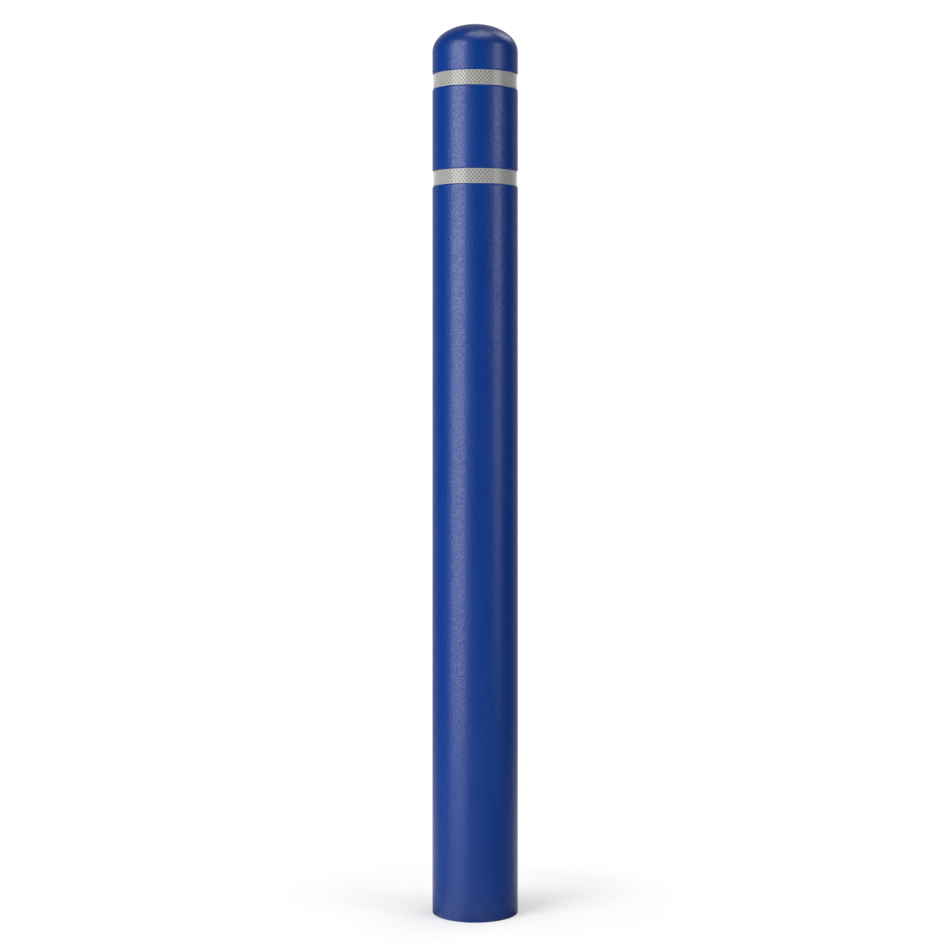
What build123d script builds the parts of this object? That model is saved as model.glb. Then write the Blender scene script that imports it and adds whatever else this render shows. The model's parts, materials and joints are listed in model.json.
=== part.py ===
from build123d import *

import math
import os

# Steel safety bollard under a moulded plastic cover.
#
# A steel post stands on a spigot that is anchored to the floor, so that no fixing shows outside.
# The post's set screws are flush, foam strips pad it, and the domed cover slides down over it to
# the floor. Two recessed bands near the top of the cover hold retroreflective tape.
#
# The frame: millimetres, +Z up, the origin on the floor at the bollard's axis.
# The tape's two ends meet at the back, on +Y.

# Cover: a domed polyethylene tube with its mouth on the floor.
COVER_HEIGHT = 1319.2
COVER_RADIUS = 63.5
COVER_WALL = 3.2
DOME_RISE = 40.9
MOUTH_EDGE = 1.0

# Recessed bands for the tape, each placed by the lower edge of its flat floor.
BAND_BOTTOMS = {"lower": 1078.6, "upper": 1222.7}
BAND_WIDTH = 23.0
BAND_DEPTH = 2.0
SHOULDER_RISE = 3.8
LIP_EDGE = 1.0

# Retroreflective tape, and the layer of glue under it and under the foam.
TAPE_THICKNESS = 0.45
TAPE_SIDE_GAP = 0.2
TAPE_TOP_GAP = 1.6
TAPE_END_GAP = 1.0
GLUE_LINE = 0.05

# Post: 4 in schedule 40 pipe, closed on top by a welded disc with a vent hole.
PIPE_RADIUS = 57.15
PIPE_WALL = 6.02
PIPE_EDGE = 1.0
POST_TOP = 1270.0
CAP_THICKNESS = 6.0
CAP_RADIUS = 53.5
CAP_VENT_RADIUS = 5.0
CAP_WELD_LEG = 3.4

# Floor spigot: 3 1/2 in schedule 40 pipe welded to a round plate, inside the post's foot.
PLATE_THICKNESS = 12.7
PLATE_EDGE = 0.8
SPIGOT_RADIUS = 50.8
SPIGOT_WALL = 5.74
SPIGOT_TOP = 203.2
SPIGOT_LEAD = 2.5
SPIGOT_WELD_LEG = 5.0
ANCHOR_COUNT = 4
ANCHOR_START_ANGLE = 45
ANCHOR_CIRCLE_RADIUS = 27.0
ANCHOR_HOLE_RADIUS = 7.0

# How far a weld's crowned face bulges out, as a share of its leg: 0.5 would be a flat face.
WELD_CROWN = 0.6

# Set screws: M10, flat point, hexagon socket, two rows round the foot of the post.
SCREW_RADIUS = 5.0
SCREW_CLEARANCE = 0.05
SCREW_BACKED_OFF = 0.1
SCREW_LENGTH = 5.9
SCREW_EDGE = 0.8
SOCKET_ACROSS_FLATS = 5.0
SOCKET_SIDES = 6
SOCKET_DEPTH = 3.4
SCREW_ROWS = {"lower": 60.0, "upper": 165.0}
SCREW_SIDES = {"right": 0, "back": 90, "left": 180, "front": 270}

# Foam strips: closed-cell tape along the post, at the thickness the cover presses it to.
STRIP_WIDTH = 25.4
STRIP_THICKNESS = 2.75
STRIP_BOTTOM = 40.0
STRIP_TOP = 1240.0
STRIP_EDGE = 0.5
STRIP_CORNERS = {"front_right": -45, "back_right": 45, "back_left": 135, "front_left": 225}

# Sizes that follow from those above.
BORE_RADIUS = COVER_RADIUS - COVER_WALL
DOME_BASE = COVER_HEIGHT - DOME_RISE
BAND_RADIUS = COVER_RADIUS - BAND_DEPTH
TAPE_INSIDE = BAND_RADIUS + GLUE_LINE
PIPE_TOP = POST_TOP - CAP_THICKNESS
PIPE_BORE_RADIUS = PIPE_RADIUS - PIPE_WALL
SPIGOT_BORE_RADIUS = SPIGOT_RADIUS - SPIGOT_WALL
SCREW_POINT = SPIGOT_RADIUS + SCREW_BACKED_OFF
STRIP_INSIDE = PIPE_RADIUS + GLUE_LINE
STRIP_ARC = math.degrees(STRIP_WIDTH / PIPE_RADIUS)

os.makedirs("parts", exist_ok=True)

# ---------------------------------------------------------------- cover

# Half section of the wall: up the outside, over the dome, then down the bore.
with BuildPart() as cover_shell:
    with BuildSketch(Plane.XZ):
        with BuildLine():
            wall_start = MOUTH_EDGE
            for bottom in BAND_BOTTOMS.values():
                # The wall up to the band, a soft shoulder, the band's floor, and a tight lip.
                top = bottom + BAND_WIDTH
                shoulder = bottom - SHOULDER_RISE
                Line((COVER_RADIUS, wall_start), (COVER_RADIUS, shoulder))
                EllipticalCenterArc(
                    (BAND_RADIUS, shoulder), BAND_DEPTH, SHOULDER_RISE, start_angle=0, arc_size=90
                )
                Line((BAND_RADIUS, bottom), (BAND_RADIUS, top))
                Line((BAND_RADIUS, top), (COVER_RADIUS - LIP_EDGE, top))
                CenterArc((COVER_RADIUS - LIP_EDGE, top + LIP_EDGE), LIP_EDGE, 270, 90)
                wall_start = top + LIP_EDGE
            Line((COVER_RADIUS, wall_start), (COVER_RADIUS, DOME_BASE))
            # The dome and its ceiling, each from the crown down.
            EllipticalCenterArc(
                (0, DOME_BASE), COVER_RADIUS, DOME_RISE, start_angle=90, arc_size=-90
            )
            Line((0, COVER_HEIGHT), (0, COVER_HEIGHT - COVER_WALL))
            EllipticalCenterArc(
                (0, DOME_BASE), BORE_RADIUS, DOME_RISE - COVER_WALL, start_angle=90, arc_size=-90
            )
            Line((BORE_RADIUS, DOME_BASE), (BORE_RADIUS, 0))
            Line((BORE_RADIUS, 0), (COVER_RADIUS - MOUTH_EDGE, 0))
            Line((COVER_RADIUS - MOUTH_EDGE, 0), (COVER_RADIUS, MOUTH_EDGE))
        make_face()
    revolve(axis=Axis.Z)
cover_shell.part.label = "cover_shell"
export_step(cover_shell.part, "parts/cover_shell.step")

# Tape lies on the floor of each band, and its two ends meet at the back.
for place, bottom in BAND_BOTTOMS.items():
    with BuildPart() as reflective_tape:
        with BuildSketch(Plane.XY.offset(bottom + TAPE_SIDE_GAP)):
            Circle(TAPE_INSIDE + TAPE_THICKNESS)
            Circle(TAPE_INSIDE, mode=Mode.SUBTRACT)
            with Locations((0, BAND_RADIUS)):
                Rectangle(TAPE_END_GAP, 2 * BAND_DEPTH, mode=Mode.SUBTRACT)
        extrude(amount=BAND_WIDTH - TAPE_SIDE_GAP - TAPE_TOP_GAP)
    reflective_tape.part.label = f"{place}_reflective_tape"
    export_step(reflective_tape.part, f"parts/{place}_reflective_tape.step")

# ---------------------------------------------------------------- post

with BuildPart() as post_pipe:
    with BuildSketch(Plane.XY.offset(PLATE_THICKNESS)):
        Circle(PIPE_RADIUS)
        Circle(PIPE_BORE_RADIUS, mode=Mode.SUBTRACT)
    extrude(amount=PIPE_TOP - PLATE_THICKNESS)
    # The foot is eased inside, so that it finds the spigot, and outside, where it is handled.
    chamfer(post_pipe.edges().group_by(Axis.Z)[0], PIPE_EDGE)
    # Tapped holes for the set screws, each cut through both walls.
    for across in (Plane.YZ, Plane.XZ):
        with BuildSketch(across):
            with Locations(*[(0, height) for height in SCREW_ROWS.values()]):
                Circle(SCREW_RADIUS)
        extrude(amount=2 * PIPE_RADIUS, both=True, mode=Mode.SUBTRACT)
post_pipe.part.label = "post_pipe"
export_step(post_pipe.part, "parts/post_pipe.step")

with BuildPart() as post_cap:
    with BuildSketch(Plane.XY.offset(PIPE_TOP)):
        Circle(CAP_RADIUS)
        Circle(CAP_VENT_RADIUS, mode=Mode.SUBTRACT)
    extrude(amount=CAP_THICKNESS)
    chamfer(post_cap.edges().group_by(Axis.Z)[-1], PIPE_EDGE)
post_cap.part.label = "post_cap"
export_step(post_cap.part, "parts/post_cap.step")


def fillet_weld(radius, height, run):
    """Returns a ring of weld in the corner of a wall and a plate, at this radius and height.

    It reaches run along the plate, outwards if run is positive, and as far up the wall.
    """
    leg = abs(run)
    toe = (radius + run, height)
    crown = (radius + run * WELD_CROWN, height + leg * WELD_CROWN)
    head = (radius, height + leg)
    with BuildPart() as bead:
        with BuildSketch(Plane.XZ):
            with BuildLine():
                Line((radius, height), toe)
                ThreePointArc(toe, crown, head)
                Line(head, (radius, height))
            make_face()
        revolve(axis=Axis.Z)
    return bead.part


post_cap_weld = fillet_weld(CAP_RADIUS, PIPE_TOP, CAP_WELD_LEG)
post_cap_weld.label = "post_cap_weld"
export_step(post_cap_weld, "parts/post_cap_weld.step")

# Set screws: the point all but touches the spigot, and the head is below the pipe's face.
for row, height in SCREW_ROWS.items():
    for side, angle in SCREW_SIDES.items():
        outwards = Vector(1, 0, 0).rotate(Axis.Z, angle)
        seat = Plane(origin=(0, 0, height), x_dir=(0, 0, 1), z_dir=outwards)
        with BuildPart() as set_screw:
            with BuildSketch(seat.offset(SCREW_POINT)):
                Circle(SCREW_RADIUS - SCREW_CLEARANCE)
            extrude(amount=SCREW_LENGTH)
            chamfer(set_screw.edges().filter_by(GeomType.CIRCLE), SCREW_EDGE)
            with BuildSketch(seat.offset(SCREW_POINT + SCREW_LENGTH)):
                RegularPolygon(SOCKET_ACROSS_FLATS / 2, SOCKET_SIDES, major_radius=False)
            extrude(amount=-SOCKET_DEPTH, mode=Mode.SUBTRACT)
        set_screw.part.label = f"set_screw_{row}_{side}"
        export_step(set_screw.part, f"parts/set_screw_{row}_{side}.step")

# Foam strips, bent round the pipe.
for corner, angle in STRIP_CORNERS.items():
    with BuildPart() as foam_strip:
        with BuildSketch(Plane.XY.offset(STRIP_BOTTOM)):
            with BuildLine():
                start = angle - STRIP_ARC / 2
                back = CenterArc((0, 0), STRIP_INSIDE, start, STRIP_ARC)
                face = CenterArc((0, 0), STRIP_INSIDE + STRIP_THICKNESS, start, STRIP_ARC)
                Line(back @ 0, face @ 0)
                Line(back @ 1, face @ 1)
            make_face()
        extrude(amount=STRIP_TOP - STRIP_BOTTOM)
        chamfer(foam_strip.edges().filter_by(Axis.Z).group_by(SortBy.DISTANCE)[-1], STRIP_EDGE)
    foam_strip.part.label = f"foam_strip_{corner}"
    export_step(foam_strip.part, f"parts/foam_strip_{corner}.step")

# ---------------------------------------------------------------- floor spigot

with BuildPart() as base_plate:
    with BuildSketch():
        Circle(PIPE_RADIUS)
        with PolarLocations(ANCHOR_CIRCLE_RADIUS, ANCHOR_COUNT, start_angle=ANCHOR_START_ANGLE):
            Circle(ANCHOR_HOLE_RADIUS, mode=Mode.SUBTRACT)
    extrude(amount=PLATE_THICKNESS)
    rim_edges = base_plate.edges().filter_by(GeomType.CIRCLE).sort_by(SortBy.RADIUS)[-2:]
    chamfer(rim_edges, PLATE_EDGE)
base_plate.part.label = "base_plate"
export_step(base_plate.part, "parts/base_plate.step")

with BuildPart() as spigot_tube:
    with BuildSketch(Plane.XY.offset(PLATE_THICKNESS)):
        Circle(SPIGOT_RADIUS)
        Circle(SPIGOT_BORE_RADIUS, mode=Mode.SUBTRACT)
    extrude(amount=SPIGOT_TOP - PLATE_THICKNESS)
    lead_edge = spigot_tube.edges().group_by(Axis.Z)[-1].sort_by(SortBy.RADIUS)[-1]
    chamfer(lead_edge, SPIGOT_LEAD)
spigot_tube.part.label = "spigot_tube"
export_step(spigot_tube.part, "parts/spigot_tube.step")

spigot_weld = fillet_weld(SPIGOT_BORE_RADIUS, PLATE_THICKNESS, -SPIGOT_WELD_LEG)
spigot_weld.label = "spigot_weld"
export_step(spigot_weld, "parts/spigot_weld.step")
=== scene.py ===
import json
import logging
import math
import random
from dataclasses import dataclass, field
from enum import Enum
from typing import Callable, Iterable, Union

import bmesh
import bpy
from mathutils import Matrix, Vector


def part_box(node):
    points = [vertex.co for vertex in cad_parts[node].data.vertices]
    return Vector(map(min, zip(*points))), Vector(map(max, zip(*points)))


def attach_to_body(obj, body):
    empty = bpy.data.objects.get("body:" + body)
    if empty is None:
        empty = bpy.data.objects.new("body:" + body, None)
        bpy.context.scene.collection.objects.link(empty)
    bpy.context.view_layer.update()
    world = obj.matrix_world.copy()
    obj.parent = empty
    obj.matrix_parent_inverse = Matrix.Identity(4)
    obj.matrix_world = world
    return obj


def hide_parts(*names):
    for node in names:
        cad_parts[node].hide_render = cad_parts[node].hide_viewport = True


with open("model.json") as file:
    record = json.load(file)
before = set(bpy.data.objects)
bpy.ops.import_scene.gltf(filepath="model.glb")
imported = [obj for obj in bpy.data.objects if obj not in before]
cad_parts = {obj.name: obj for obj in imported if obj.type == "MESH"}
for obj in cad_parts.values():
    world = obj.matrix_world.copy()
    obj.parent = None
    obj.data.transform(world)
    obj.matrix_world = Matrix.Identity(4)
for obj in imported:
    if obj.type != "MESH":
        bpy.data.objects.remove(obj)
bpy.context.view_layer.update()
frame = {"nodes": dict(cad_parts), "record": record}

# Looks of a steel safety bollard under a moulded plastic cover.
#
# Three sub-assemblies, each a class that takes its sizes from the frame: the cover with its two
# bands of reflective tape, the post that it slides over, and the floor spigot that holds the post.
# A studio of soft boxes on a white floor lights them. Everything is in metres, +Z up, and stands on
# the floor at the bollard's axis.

MM = 0.001
FULL_TURN = 2 * math.pi
QUARTER_TURN = math.pi / 2
WELD_DISTANCE = 1e-6

log = logging.getLogger("bollard")

Point = tuple[float, float, float]
Colour = tuple[float, float, float, float]
Feed = Union[bpy.types.NodeSocket, float, Point, Colour]


class Body(Enum):
    """The bodies that pieces ride on."""

    BASE = "base"
    POST = "post"
    COVER = "cover"


class Slot(Enum):
    """The record's material slots."""

    COVER = "cover_plastic"
    TAPE = "reflective_film"
    STEEL = "galvanised_steel"
    WELD = "weld_metal"
    SCREW = "black_oxide_steel"
    FOAM = "foam"


# ---------------------------------------------------------------- mesh work


def wire(bm: bmesh.types.BMesh, corners: Iterable[Point]) -> list[bmesh.types.BMVert]:
    """Adds a chain of vertices joined by edges.

    Args:
        bm: The mesh it is added to.
        corners: The chain's points in order.

    Returns:
        The new vertices in order.
    """
    verts = [bm.verts.new(corner) for corner in corners]
    for first, second in zip(verts, verts[1:]):
        bm.edges.new((first, second))
    return verts


def section(radius: float, height: float) -> Point:
    """A point of a half section, in the plane that is spun about Z."""
    return (radius, 0.0, height)


def elliptic_quarter(
    bm: bmesh.types.BMesh,
    start: bmesh.types.BMVert,
    centre: Point,
    rise: float,
    steps: int,
) -> bmesh.types.BMVert:
    """Draws a quarter of an ellipse in the half section, from a vertex at its side to its top.

    Args:
        bm: The mesh that holds the half section.
        start: The vertex at the ellipse's side, level with its centre.
        centre: The ellipse's centre.
        rise: The ellipse's half height.
        steps: How many edges the quarter has.

    Returns:
        The vertex at the top.
    """
    known = set(bm.verts)
    run = abs(start.co.x - centre[0])
    bmesh.ops.spin(
        bm, geom=[start], cent=centre, axis=(0, -1, 0), dvec=(0, 0, 0),
        angle=QUARTER_TURN, steps=steps, use_merge=False, use_duplicate=False,
    )
    added = [vert for vert in bm.verts if vert not in known]
    bmesh.ops.scale(
        bm, vec=(1, 1, rise / run), space=Matrix.Translation(-Vector(centre)), verts=added
    )
    return max(added, key=lambda vert: vert.co.z)


def round_corners(
    bm: bmesh.types.BMesh, corners: list[bmesh.types.BMVert], radius: float, segments: int
) -> None:
    """Rounds corners of a half section, before it is spun.

    Args:
        bm: The mesh that holds the half section.
        corners: The corner vertices.
        radius: How far from the corner the rounding starts.
        segments: How many edges each rounding has.
    """
    bmesh.ops.bevel(
        bm, geom=corners, offset=radius, offset_type="OFFSET", segments=segments,
        profile=0.5, affect="VERTICES", material=-1,
    )


def lathe(bm: bmesh.types.BMesh, steps: int) -> None:
    """Spins a half section into a whole turned shape, and closes its seam and poles.

    Args:
        bm: The mesh that holds the half section.
        steps: How many segments go round.
    """
    bmesh.ops.spin(
        bm, geom=bm.verts[:] + bm.edges[:], cent=(0, 0, 0), axis=(0, 0, 1), dvec=(0, 0, 0),
        angle=FULL_TURN, steps=steps, use_merge=True, use_duplicate=False,
    )
    bmesh.ops.remove_doubles(bm, verts=bm.verts[:], dist=WELD_DISTANCE)
    bmesh.ops.recalc_face_normals(bm, faces=bm.faces[:])


def aim(bm: bmesh.types.BMesh, azimuth: float, height: float) -> None:
    """Turns a shape that was made along Z so that it points outwards at an azimuth, at a height.

    Args:
        bm: The mesh that is turned.
        azimuth: The direction from +X towards +Y, in radians.
        height: The height of its axis.
    """
    lay = Matrix.Rotation(QUARTER_TURN, 4, "Y")
    turn = Matrix.Rotation(azimuth, 4, "Z")
    bmesh.ops.transform(bm, matrix=turn @ lay, verts=bm.verts[:])
    bmesh.ops.translate(bm, vec=(0, 0, height), verts=bm.verts[:])


def to_object(bm: bmesh.types.BMesh, name: str, crease: float = 32.0) -> bpy.types.Object:
    """Makes an object at the origin from a finished mesh, smooth but for its creases.

    Args:
        bm: The mesh, which is freed.
        name: The object's name.
        crease: The angle between faces, in degrees, past which an edge stays sharp.

    Returns:
        The new object.
    """
    mesh = bpy.data.meshes.new(name)
    bm.to_mesh(mesh)
    bm.free()
    mesh.shade_smooth()
    mesh.set_sharp_from_angle(angle=math.radians(crease))
    piece = bpy.data.objects.new(name, mesh)
    bpy.context.scene.collection.objects.link(piece)
    return piece


def drill(piece: bpy.types.Object, bits: list[bpy.types.Object], crease: float = 32.0) -> None:
    """Cuts holes in a piece and throws the drill bits away.

    Args:
        piece: The piece that is drilled.
        bits: Closed shapes, one for each hole.
        crease: The angle past which an edge stays sharp, in degrees.
    """
    for bit in bits:
        cut = piece.modifiers.new("hole", "BOOLEAN")
        cut.object = bit
        cut.operation = "DIFFERENCE"
        cut.solver = "EXACT"
    evaluated = piece.evaluated_get(bpy.context.evaluated_depsgraph_get())
    drilled = bpy.data.meshes.new_from_object(evaluated)
    blank = piece.data
    piece.modifiers.clear()
    piece.data = drilled
    bpy.data.meshes.remove(blank)
    drilled.name = piece.name
    drilled.shade_smooth()
    drilled.set_sharp_from_angle(angle=math.radians(crease))
    for bit in bits:
        shape = bit.data
        bpy.data.objects.remove(bit)
        bpy.data.meshes.remove(shape)


def drill_bit(radius: float, start: float, face: float, bevel: float) -> bmesh.types.BMesh:
    """Makes a drill bit along Z that flares where it leaves the work, to chamfer the hole's edge.

    Args:
        radius: The hole's radius.
        start: Where the hole starts along Z.
        face: Where the work's face is along Z.
        bevel: The chamfer's leg.

    Returns:
        The bit's mesh.
    """
    clear = 2 * bevel
    bm = bmesh.new()
    wire(bm, [
        section(0, start),
        section(radius, start),
        section(radius, face - bevel),
        section(radius + bevel + clear, face + clear),
        section(0, face + clear),
    ])
    lathe(bm, 48)
    return bm


# ---------------------------------------------------------------- shader work


class Nodes:
    """A node tree that is filled in from left to right, one short call for each node."""

    def __init__(self, tree: bpy.types.NodeTree) -> None:
        """Starts with an empty tree.

        Args:
            tree: The node tree, which is emptied.
        """
        self.tree = tree
        self.tree.nodes.clear()
        self.column = 0

    def add(self, kind: str, values: dict | None = None, **settings: object) -> bpy.types.Node:
        """Adds a node.

        Args:
            kind: The node's type, without the words that all shader nodes share.
            values: What its input sockets hold or are linked from, by the sockets' names.
            settings: The node's own settings.

        Returns:
            The new node.
        """
        node = self.tree.nodes.new(f"ShaderNode{kind}")
        node.location = (self.column * 190, -120 * (self.column % 3))
        self.column += 1
        for name, setting in settings.items():
            setattr(node, name, setting)
        for name, value in (values or {}).items():
            self.feed(node.inputs[name], value)
        return node

    def feed(self, socket: bpy.types.NodeSocket, value: Feed) -> None:
        """Links a socket to an output, or sets its value.

        Args:
            socket: The input to feed.
            value: The output to link from, or the value to set.
        """
        if isinstance(value, bpy.types.NodeSocket):
            self.tree.links.new(value, socket)
        else:
            socket.default_value = value

    def maths(self, operation: str, *values: Feed, clamp: bool = False) -> bpy.types.NodeSocket:
        """Adds a sum on numbers and returns its result."""
        node = self.add("Math", dict(enumerate(values)), operation=operation, use_clamp=clamp)
        return node.outputs[0]

    def noise(self, place: Feed, scale: float, detail: float, roughness: float = 0.5) -> bpy.types.NodeSocket:
        """Adds a noise whose features are about one over scale wide, and returns its value.

        Args:
            place: Where the noise is read.
            scale: How fine it is.
            detail: How many finer layers it has.
            roughness: How strong the finer layers are.

        Returns:
            The socket that puts out the result.
        """
        node = self.add(
            "TexNoise",
            {"Vector": place, "Scale": scale, "Detail": detail, "Roughness": roughness},
        )
        return node.outputs["Fac"]

    def spread(
        self, value: Feed, low: float, high: float, out_low: Feed, out_high: Feed
    ) -> bpy.types.NodeSocket:
        """Stretches a value's range from low..high to out_low..out_high, smoothly, and returns it.

        Args:
            value: The value to stretch.
            low: Where its range starts.
            high: Where its range ends.
            out_low: What it gives at the start.
            out_high: What it gives at the end.

        Returns:
            The socket that puts out the result.
        """
        node = self.add(
            "MapRange",
            {"Value": value, "From Min": low, "From Max": high, "To Min": out_low, "To Max": out_high},
            interpolation_type="SMOOTHSTEP",
        )
        return node.outputs["Result"]

    def blend(self, factor: Feed, first: Feed, second: Feed, mode: str = "MIX") -> bpy.types.NodeSocket:
        """Mixes two colours and returns the result.

        Args:
            factor: The share of the second colour.
            first: The first colour.
            second: The second colour.
            mode: How the two are mixed.

        Returns:
            The socket that puts out the result.
        """
        node = self.add("Mix", data_type="RGBA", blend_type=mode)
        for index, value in ((0, factor), (6, first), (7, second)):
            self.feed(node.inputs[index], value)
        return node.outputs[2]

    def object_place(self) -> bpy.types.NodeSocket:
        """Returns the place on the object, in metres."""
        return self.add("TexCoord").outputs["Object"]


def node_group(
    name: str,
    inputs: dict[str, tuple[str, object]],
    outputs: dict[str, str],
    fill: Callable[[Nodes, bpy.types.Node], dict],
) -> bpy.types.NodeTree:
    """Builds a shader node group once, and finds it again afterwards.

    Args:
        name: The group's name.
        inputs: Each input's socket type and starting value, by name.
        outputs: Each output's socket type, by name.
        fill: Adds the inner nodes, and returns what each output is fed from.

    Returns:
        The group.
    """
    found = bpy.data.node_groups.get(name)
    if found is not None:
        return found
    tree = bpy.data.node_groups.new(name, "ShaderNodeTree")
    for socket_name, (kind, value) in inputs.items():
        socket = tree.interface.new_socket(socket_name, in_out="INPUT", socket_type=f"NodeSocket{kind}")
        if value is not None:
            socket.default_value = value
    for socket_name, kind in outputs.items():
        tree.interface.new_socket(socket_name, in_out="OUTPUT", socket_type=f"NodeSocket{kind}")
    nodes = Nodes(tree)
    entry = tree.nodes.new("NodeGroupInput")
    results = fill(nodes, entry)
    leave = tree.nodes.new("NodeGroupOutput")
    for socket_name, value in results.items():
        nodes.feed(leave.inputs[socket_name], value)
    return tree


def place_group(nodes: Nodes, group: bpy.types.NodeTree, values: dict) -> bpy.types.Node:
    """Puts a group into a material with its own values, and returns its node.

    Args:
        nodes: The material's nodes.
        group: The group to place.
        values: What its inputs hold or are linked from, by name.

    Returns:
        The group's node.
    """
    node = nodes.tree.nodes.new("ShaderNodeGroup")
    node.node_tree = group
    for name, value in values.items():
        nodes.feed(node.inputs[name], value)
    return node


def grain_group() -> bpy.types.NodeTree:
    """A moulded or cast skin's grain: broad ripples under a fine leather texture.

    Returns:
        The node group.
    """

    def fill(nodes: Nodes, entry: bpy.types.Node) -> dict:
        """Adds the group's inner nodes.

        Args:
            nodes: The group's nodes.
            entry: The node that holds the group's inputs.

        Returns:
            What each output is fed from, by name.
        """
        place = entry.outputs["Place"]
        ripple = nodes.add(
            "TexNoise", {"Vector": place, "Scale": entry.outputs["Ripple Scale"], "Detail": 2.0}
        ).outputs["Fac"]
        fine = nodes.add(
            "TexNoise",
            {"Vector": place, "Scale": entry.outputs["Grain Scale"], "Detail": 3.0, "Roughness": 0.6},
        ).outputs["Fac"]
        swell = nodes.maths("MULTIPLY", ripple, entry.outputs["Ripple"])
        pits = nodes.maths("MULTIPLY", fine, entry.outputs["Grain"])
        height = nodes.maths("ADD", swell, pits)
        return {"Height": height, "Mask": fine}

    return node_group(
        "surface grain",
        {
            "Place": ("Vector", None),
            "Ripple Scale": ("Float", 200.0),
            "Ripple": ("Float", 1.0),
            "Grain Scale": ("Float", 600.0),
            "Grain": ("Float", 0.5),
        },
        {"Height": "Float", "Mask": "Float"},
        fill,
    )


def handling_group() -> bpy.types.NodeTree:
    """What handling leaves on a surface: faint scuffs across it, and dust that settles low down.

    Returns:
        The node group.
    """

    def fill(nodes: Nodes, entry: bpy.types.Node) -> dict:
        """Adds the group's inner nodes.

        Args:
            nodes: The group's nodes.
            entry: The node that holds the group's inputs.

        Returns:
            What each output is fed from, by name.
        """
        place = entry.outputs["Place"]
        stretched = nodes.add("Mapping", {"Vector": place, "Scale": (1.0, 1.0, 5.0)}).outputs[0]
        streaks = nodes.noise(stretched, 38.0, 5.0, 0.7)
        patches = nodes.noise(place, 9.0, 2.0)
        streaked = nodes.spread(streaks, 0.6, 0.74, 0.0, 1.0)
        patched = nodes.spread(patches, 0.45, 0.65, 0.0, 1.0)
        worn = nodes.maths("MULTIPLY", streaked, patched)
        scuffs = nodes.maths("MULTIPLY", worn, entry.outputs["Scuffs"])
        height = nodes.add("SeparateXYZ", {"Vector": place}).outputs["Z"]
        low = nodes.maths("MULTIPLY", height, -1.0)
        near_floor = nodes.maths("EXPONENT", nodes.maths("DIVIDE", low, entry.outputs["Dust Height"]))
        specks = nodes.spread(nodes.noise(place, 260.0, 4.0, 0.6), 0.35, 0.7, 0.2, 1.0)
        dust = nodes.maths("MULTIPLY", nodes.maths("MULTIPLY", near_floor, specks), entry.outputs["Dust"])
        return {"Scuffs": scuffs, "Dust": dust}

    return node_group(
        "handling marks",
        {
            "Place": ("Vector", None),
            "Scuffs": ("Float", 0.3),
            "Dust": ("Float", 0.2),
            "Dust Height": ("Float", 0.05),
        },
        {"Scuffs": "Float", "Dust": "Float"},
        fill,
    )


def spangle_group() -> bpy.types.NodeTree:
    """The crystals of a hot-dip zinc coat: flat grains, each with its own shade and shine.

    Returns:
        The node group.
    """

    def fill(nodes: Nodes, entry: bpy.types.Node) -> dict:
        """Adds the group's inner nodes.

        Args:
            nodes: The group's nodes.
            entry: The node that holds the group's inputs.

        Returns:
            What each output is fed from, by name.
        """
        place = entry.outputs["Place"]
        wobble = nodes.add("TexNoise", {"Vector": place, "Scale": 120.0, "Detail": 3.0}).outputs["Color"]
        bent = nodes.add(
            "VectorMath", {0: wobble, 1: (0.006, 0.006, 0.006), 2: place}, operation="MULTIPLY_ADD"
        ).outputs[0]
        large = nodes.add("TexVoronoi", {"Vector": bent, "Scale": entry.outputs["Scale"]})
        fine_scale = nodes.maths("MULTIPLY", entry.outputs["Scale"], 3.1)
        small = nodes.add("TexVoronoi", {"Vector": bent, "Scale": fine_scale})
        big_tone = nodes.add("SeparateColor", {"Color": large.outputs["Color"]}).outputs[0]
        small_tone = nodes.add("SeparateColor", {"Color": small.outputs["Color"]}).outputs[1]
        tone = nodes.maths(
            "MULTIPLY_ADD", big_tone, 0.62, nodes.maths("MULTIPLY", small_tone, 0.38)
        )
        return {"Tone": tone, "Height": nodes.maths("ADD", big_tone, small_tone)}

    return node_group(
        "zinc spangle",
        {"Place": ("Vector", None), "Scale": ("Float", 70.0)},
        {"Tone": "Float", "Height": "Float"},
        fill,
    )


def new_material(name: str, base: Colour) -> tuple[bpy.types.Material, Nodes, bpy.types.Node]:
    """Starts a material.

    Args:
        name: The material's name.
        base: The colour that it shows in a plain view.

    Returns:
        The material, its nodes, and its surface shader.
    """
    material = bpy.data.materials.new(name)
    material.use_nodes = True
    material.diffuse_color = base
    nodes = Nodes(material.node_tree)
    shader = nodes.add("BsdfPrincipled")
    out = nodes.add("OutputMaterial")
    nodes.feed(out.inputs["Surface"], shader.outputs["BSDF"])
    return material, nodes, shader


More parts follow.
